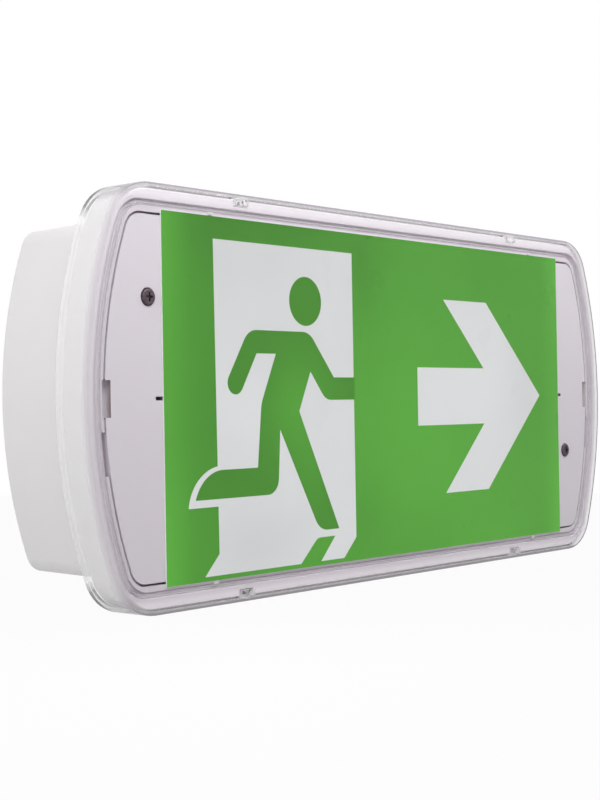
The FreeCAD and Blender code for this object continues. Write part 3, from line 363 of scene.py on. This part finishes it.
# soft spots of the light behind the print: x and z of the centre, width and height, all in
# millimetres, and how much lighter or darker the spot is
FIELD_SPOTS = [(-122, 0, 18, 100, -0.16), (-85, 78, 62, 22, -0.28), (12, -8, 60, 45, 0.15),
               (50, -40, 50, 30, 0.08), (85, -75, 40, 15, 0.10), (-22, 55, 15, 20, -0.10),
               (-22, -55, 15, 15, -0.08), (95, 65, 30, 20, -0.05)]
FIGURE_SPOTS = [(-68, -4, 22, 22, 0.34), (-60, -35, 12, 20, 0.12)]
WHITE_SPOTS = [(-100, 60, 40, 20, -0.05), (-100, -62, 40, 18, -0.09), (-100, -5, 25, 20, 0.05),
               (55, 0, 45, 30, 0.05), (118, 0, 20, 40, -0.06)]


def lit_from_behind(name, colour, spots, ends=0.0, corners=0.0):
    """Print on the translucent panel, lighter and darker where the light behind it is.

    Ends and corners say how much lighter the field is at its two ends and its four corners.
    """
    made = Material(name)
    x, _, z = made.axes(made.coordinates("Object"))

    def spot(centre_x, centre_z, width, height):
        across = made.maths("DIVIDE", made.maths("SUBTRACT", x, centre_x * MM), width * MM)
        upward = made.maths("DIVIDE", made.maths("SUBTRACT", z, centre_z * MM), height * MM)
        distance = made.maths("ADD", made.product(across, across), made.product(upward, upward))
        return made.maths("EXPONENT", made.maths("MULTIPLY", distance, -1.0))

    total = made.patchy(made.noise(scale=16.0), 0.98, 1.02)
    for *place, weight in spots:
        total = made.maths("MULTIPLY_ADD", spot(*place), weight, total)
    if ends:
        end = made.rise(made.absolute(x), 134 * MM, 150 * MM)
        corner = made.rise(made.absolute(z), 20 * MM, 75 * MM)
        lighter = made.maths("MULTIPLY_ADD", corner, corners, ends)
        total = made.maths("MULTIPLY_ADD", end, lighter, total)
    # half of the brightness is reflected, the rest comes through from behind as the backlight's
    # glow; the glow rises lower down, painted light that evens out the key lamp's fall-off
    # towards the bottom
    reflected = 0.5
    through = made.ramp(z, 0.62, 0.50, -50 * MM, 65 * MM)
    for socket, share in (("Base Color", reflected), ("Emission Color", through)):
        shade = made.node("VectorMath", operation="SCALE")
        shade.inputs[0].default_value = colour
        made.link(made.maths("MULTIPLY", total, share), shade.inputs["Scale"])
        made.link(shade.outputs[0], made.shader.inputs[socket])
    rough = made.patchy(made.noise(scale=40.0), 0.27, 0.35)
    made.link(rough, made.shader.inputs["Roughness"])
    made.set(Emission_Strength=1.0, Specular_IOR_Level=0.08)
    return made


# ---------------------------------------------------------------- finishes of the CAD nodes

# how far the catches lie to the left and right of the cover's middle
CATCH_X = 103.5 * MM


def clear_plastic():
    """Clear polycarbonate, all but invisible face on, with painted light: a whitish sheen on the
    skirt for its inner reflections, grey where it is seen edge on.
    """
    made = Material("clear_polycarbonate")
    (_, front, _), (_, back, top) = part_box("clear_cover")
    x, y, z = made.axes(made.coordinates("Object"))
    _, normal_y, normal_z = made.axes(made.coordinates("Normal"))
    off_middle, height = made.absolute(x), made.absolute(z)
    frontal = made.absolute(normal_y)

    # zones of the cover, each 1 inside and 0 outside
    rounding = made.product(made.fall(frontal, 0.80, 0.96), made.rise(frontal, 0.02, 0.20))
    skirt = made.rise(y, front + 2.0 * MM, front + 5.0 * MM, smooth=True)
    shoulder = made.product(made.fall(y, front + 4.5 * MM, front + 7.5 * MM, smooth=True),
                            made.fall(frontal, 0.90, 0.99))
    cut_edge = made.rise(y, back - 2.6 * MM, back - 1.8 * MM, smooth=True)
    painted_corner_streak = made.product(cut_edge, made.rise(made.absolute(normal_z), 0.30, 0.55))
    long_rib = made.product(made.fall(height, top - 4.5 * MM, top - 3.5 * MM),
                            made.fall(off_middle, 160 * MM, 168 * MM))
    off_catch = made.absolute(made.maths("SUBTRACT", off_middle, CATCH_X))
    catch = made.product(made.fall(off_catch, 4.0 * MM, 4.3 * MM),
                         made.rise(height, top - 5.2 * MM, top - 4.9 * MM),
                         made.fall(height, top - 1.7 * MM, top - 1.4 * MM), skirt)

    # 1 where a surface is seen edge on; the rounding counts as edge on a little sooner
    layer = made.node("LayerWeight")
    layer.inputs["Blend"].default_value = 0.5
    leaning = made.maths("MULTIPLY_ADD", rounding, 0.2, layer.outputs["Facing"])
    edge_on = made.rise(leaning, 0.52, 0.86, smooth=True)

    # painted grey where a wall is seen edge on, standing in for refraction of darker
    # surroundings; lighter and mauve along the inner long rib
    painted_edge_grey = made.mix(long_rib, linear(142, 135, 143), linear(204, 194, 205))
    # painted glints on the clear catches: white, with dark refraction marks from a fine noise
    painted_catch_marks = made.rise(made.noise(scale=420.0, detail=0.0), 0.54, 0.60)
    painted_catch_glints = made.mix(painted_catch_marks, linear(252, 252, 253), linear(104, 98, 103))
    # painted whitish sheen on the skirt for its inner reflections, and painted mauve shade on the
    # shoulder by the front edge
    shade = made.mix(shoulder, linear(238, 237, 238), linear(206, 199, 207))
    # a painted highlight along the back edge, and a painted dark streak on it at the corners
    for zone, colour in ((cut_edge, linear(252, 251, 253)), (edge_on, painted_edge_grey),
                         (painted_corner_streak, linear(96, 96, 98)), (catch, painted_catch_glints)):
        shade = made.mix(zone, shade, colour)
    made.link(shade, made.shader.inputs["Base Color"])
    made.set(Roughness=0.20, IOR=1.45, Specular_IOR_Level=0.5)
    made.bump(made.noise(scale=30.0, detail=1.0), strength=0.05, distance=0.3 * MM)

    # how solid each zone looks; the flat front keeps next to nothing
    solid = 0.004
    for zone, share in ((skirt, 0.22), (shoulder, 0.38), (cut_edge, 0.12),
                        (painted_corner_streak, 0.45), (catch, 0.35)):
        solid = made.maths("MULTIPLY_ADD", zone, share, solid)
    edge_share = made.maths("MULTIPLY_ADD", rounding, 0.34, 0.54)
    solid = made.maths("MULTIPLY_ADD", edge_on, edge_share, solid, clamp=True)
    # shadow rays and diffuse rays pass through it almost freely
    path = made.node("LightPath")
    passing = made.maths("MAXIMUM", path.outputs["Is Shadow Ray"],
                         path.outputs["Is Diffuse Ray"])
    share = made.product(solid, made.ramp(passing, 1.0, 0.15, 0.0, 1.0))
    made.surface(share, made.node("BsdfTransparent"), made.shader)
    return made


def housing_plastic():
    """White moulding; what faces the front, under the cover, is a little pinker than the tub."""
    made = moulded("housing_white", linear(228, 226, 227), roughness=0.42)
    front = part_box("back_housing")[0][1]
    _, y, z = made.axes(made.coordinates("Object"))
    _, normal_y, _ = made.axes(made.coordinates("Normal"))
    height = made.absolute(z)
    frontal = made.rise(made.maths("MULTIPLY", normal_y, -1.0), 0.5, 0.95)
    under_cover = made.fall(y, front + 8 * MM, front + 10 * MM)
    # the long sides are lighter than the ends, and their crown carries a painted highlight that
    # makes it lighter than their ledge
    long_side = made.rise(height, 66 * MM, 79 * MM)
    painted_crown_highlight = made.rise(height, 78.5 * MM, 81.2 * MM)
    side_colour = made.mix(painted_crown_highlight, linear(224, 214, 224), linear(244, 238, 244))
    colour = made.mix(long_side, linear(212, 205, 213), side_colour)
    made.tint(made.product(frontal, under_cover), colour)
    return made


def tray_plastic():
    """Mauve-white moulding; the walls of its two end slots carry painted brownish shade near the
    face.
    """
    made = moulded("tray_white", linear(222, 215, 223), roughness=0.40, mottle=0.02)
    face_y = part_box("gear_tray")[0][1]
    _, y, z = made.axes(made.coordinates("Object"))
    below_face = made.rise(y, face_y + 0.1 * MM, face_y + 0.3 * MM)
    shallow = made.fall(y, face_y + 0.6 * MM, face_y + 2.6 * MM)
    mid_height = made.fall(made.absolute(z), 7.5 * MM, 8.0 * MM)
    # painted shade in the end slots at mid height, strongest just below the face
    made.tint(made.product(below_face, mid_height, shallow), linear(140, 120, 117))
    return made


def make_gasket():
    """The foam gasket: its edges are soft, and its face is pressed a little below the rib."""
    pressed = 0.08 * MM
    swelling = 0.08 * MM
    softness = 0.12 * MM
    rim_depth = 0.5 * MM
    sharp = math.radians(60)
    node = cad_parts["cover_gasket"]
    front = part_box("cover_gasket")[0][1]
    mesh = bmesh.new()
    mesh.from_mesh(node.data)
    bmesh.ops.remove_doubles(mesh, verts=mesh.verts, dist=0.002 * MM)
    for vertex in mesh.verts:
        outward = Vector((vertex.normal.x, 0.0, vertex.normal.z)).normalized()
        vertex.co += swelling * outward
        vertex.co.y = max(vertex.co.y, front + pressed)
    rims = [edge for edge in mesh.edges
            if all(vertex.co.y < front + rim_depth for vertex in edge.verts)
            and edge.is_manifold and edge.calc_face_angle(0.0) > sharp]
    bmesh.ops.bevel(mesh, geom=rims, offset=softness, segments=2, affect="EDGES",
                    clamp_overlap=True)
    data = bpy.data.meshes.new("gasket_foam")
    mesh.to_mesh(data)
    mesh.free()
    foam = moulded("gasket_foam", linear(206, 197, 207), roughness=0.85, mottle=0.10,
                   grain=2600.0, depth=0.06 * MM, gloss=0.2)
    data.materials.append(foam.material)
    gasket = add_object("gasket_foam", data)
    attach(gasket, ROOT)
    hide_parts("cover_gasket")


def dress_nodes():
    """Gives every CAD node its finish, apart from the gasket, which make_gasket() replaces."""
    finishes = {
        "back_housing": housing_plastic(),
        "gear_tray": tray_plastic(),
        "clear_cover": clear_plastic(),
        "legend_panel": moulded("legend_white", linear(232, 232, 232), roughness=0.30,
                                mottle=0.01),
        "tray_screw_left": metal("screw_dark", linear(92, 80, 86), roughness=0.50),
        "led_board_upper": moulded("led_board_white", linear(236, 236, 232), roughness=0.35),
        "leds_upper": moulded("led_phosphor", linear(240, 214, 110), roughness=0.25,
                              mottle=0.08),
        "led_board_screws": metal("small_screw_zinc", linear(205, 206, 206), roughness=0.30),
        "driver_board": moulded("circuit_board_green", linear(34, 104, 60), roughness=0.35,
                                mottle=0.15, grain=700.0, depth=0.03 * MM),
        "isolating_transformer": moulded("ferrite_dark", linear(48, 46, 46), roughness=0.55,
                                         mottle=0.2),
        "driver_choke": moulded("choke_sleeve", linear(38, 38, 42), mottle=0.15),
        "smoothing_capacitors": moulded("capacitor_sleeve", linear(34, 44, 84),
                                        roughness=0.28, mottle=0.08),
        "board_sockets": moulded("socket_nylon", linear(232, 229, 216)),
        "battery_pack": moulded("battery_sleeve", linear(48, 120, 70), roughness=0.25,
                                mottle=0.10),
        "battery_clip_left": moulded("clip_nylon", linear(222, 222, 218), roughness=0.50),
        "mains_terminal_block": moulded("terminal_nylon", linear(233, 233, 228)),
        "terminal_clamp_screws": metal("terminal_brass", linear(205, 186, 120),
                                       roughness=0.30),
        "entry_grommet": moulded("grommet_rubber", linear(46, 46, 47), roughness=0.70,
                                 mottle=0.15, grain=900.0, depth=0.04 * MM, gloss=0.3),
    }
    same_as = {"tray_screw_right": "tray_screw_left", "led_board_lower": "led_board_upper",
               "leds_lower": "leds_upper", "driver_board_screws": "led_board_screws",
               "battery_clip_screws": "led_board_screws",
               "battery_clip_right": "battery_clip_left",
               "terminal_fixing_screws": "led_board_screws"}
    for name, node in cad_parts.items():
        if name == "cover_gasket":
            continue
        finish = finishes[same_as.get(name, name)]
        node.data.materials.clear()
        node.data.materials.append(finish.material)


# ---------------------------------------------------------------- camera, light and floor

FLOOR_LEVEL = -0.32
FLOOR_SIZE = 8.0
# how much of the floor's look is plain white; the rest shows the shadow
FLOOR_GLOW = 0.96
CAMERA_YAW = math.radians(-49.27)
CAMERA_PITCH = math.radians(0.27)
CAMERA_ROLL = math.radians(0.97)
# the camera's place from the middle of the legend's face
CAMERA_OFFSET = Vector((-0.5593, -0.4237, -0.0043))
CAMERA_LENS = 66.64
CAMERA_SENSOR = 36.0
CAMERA_NEAR = 0.01
SKY_BELOW = 0.16
SKY_ABOVE = 0.36


def make_camera():
    """The photograph's view: from the left, level with the legend."""
    low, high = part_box("legend_panel")
    target = Vector(((low[0] + high[0]) / 2, low[1], (low[2] + high[2]) / 2))
    data = bpy.data.cameras.new("camera")
    data.lens = CAMERA_LENS
    data.sensor_width = CAMERA_SENSOR
    data.clip_start = CAMERA_NEAR
    camera = add_object("camera", data)
    turn = (Matrix.Rotation(CAMERA_YAW, 4, "Z") @ Matrix.Rotation(CAMERA_PITCH, 4, "X")
            @ Matrix.Rotation(CAMERA_ROLL, 4, "Y"))
    look_level = Matrix.Rotation(math.radians(90), 4, "X")
    camera.matrix_world = Matrix.Translation(target + CAMERA_OFFSET) @ turn @ look_level
    scene.camera = camera


def make_world():
    """White to look at; as light, a soft sky that is brighter above than below."""
    world = bpy.data.worlds.new("studio")
    scene.world = world
    world.use_nodes = True
    sky = Nodes(world.node_tree)
    background = sky.tree.nodes["Background"]
    _, _, upward = sky.axes(sky.coordinates("Generated"))
    strength = sky.node("Mix", data_type="FLOAT")
    sky.link(sky.seen_directly(), strength.inputs["Factor"])
    as_light, as_seen = strength.inputs[2], strength.inputs[3]
    sky.link(sky.ramp(upward, SKY_BELOW, SKY_ABOVE, -1.0, 1.0), as_light)
    as_seen.default_value = 1.0
    sky.link(strength.outputs[0], background.inputs["Strength"])
    background.inputs["Color"].default_value = (1.0, 1.0, 1.0, 1.0)


def make_lamp(name, place, target, size, power, mirrored=False):
    """A soft rectangular lamp; only a mirrored one shows in glossy surfaces."""
    data = bpy.data.lights.new(name, "AREA")
    data.shape = "RECTANGLE"
    data.size, data.size_y = size
    data.energy = power
    lamp = add_object(name, data)
    lamp.location = place
    lamp.rotation_euler = (Vector(target) - Vector(place)).to_track_quat("-Z", "Y").to_euler()
    lamp.visible_glossy = mirrored
    lamp.visible_camera = False


def make_floor():
    """Pale floor well below the light; it looks white and keeps a trace of the shadow."""
    mesh = bpy.data.meshes.new("floor")
    half = FLOOR_SIZE / 2
    corners = [(x * half, y * half, FLOOR_LEVEL) for x, y in ((-1, -1), (1, -1), (1, 1), (-1, 1))]
    mesh.from_pydata(corners, [], [(0, 1, 2, 3)])
    floor = add_object("floor", mesh)
    made = Material("floor_white")
    made.set(Base_Color=(0.65, 0.65, 0.65, 1.0), Roughness=0.9, Specular_IOR_Level=0.0)
    glow = made.node("Emission")
    glow.inputs["Strength"].default_value = 1.0
    made.surface(made.product(made.seen_directly(), FLOOR_GLOW), made.shader, glow)
    mesh.materials.append(made.material)


# ---------------------------------------------------------------- the scene

scene.view_settings.view_transform = "Standard"
make_camera()
make_world()
make_floor()
make_lamp("key", place=(0.0, -0.30, 0.32), target=(0, 0, 0), size=(1.0, 0.15), power=2.15,
          mirrored=True)
make_lamp("left", place=(-1.2, -0.20, 0.38), target=(-0.1, 0, 0), size=(0.5, 0.5), power=6.2)
make_lamp("behind", place=(0.8, 0.90, 0.50), target=(0.05, 0, 0), size=(0.8, 0.8), power=7.0)
dress_nodes()
make_gasket()
make_sign(green=lit_from_behind("print_green", linear(82, 154, 56), FIELD_SPOTS,
                                ends=0.15, corners=0.14),
          dark_green=lit_from_behind("print_green_dark", linear(72, 136, 48), FIGURE_SPOTS),
          white=lit_from_behind("print_white", linear(214, 215, 216), WHITE_SPOTS))
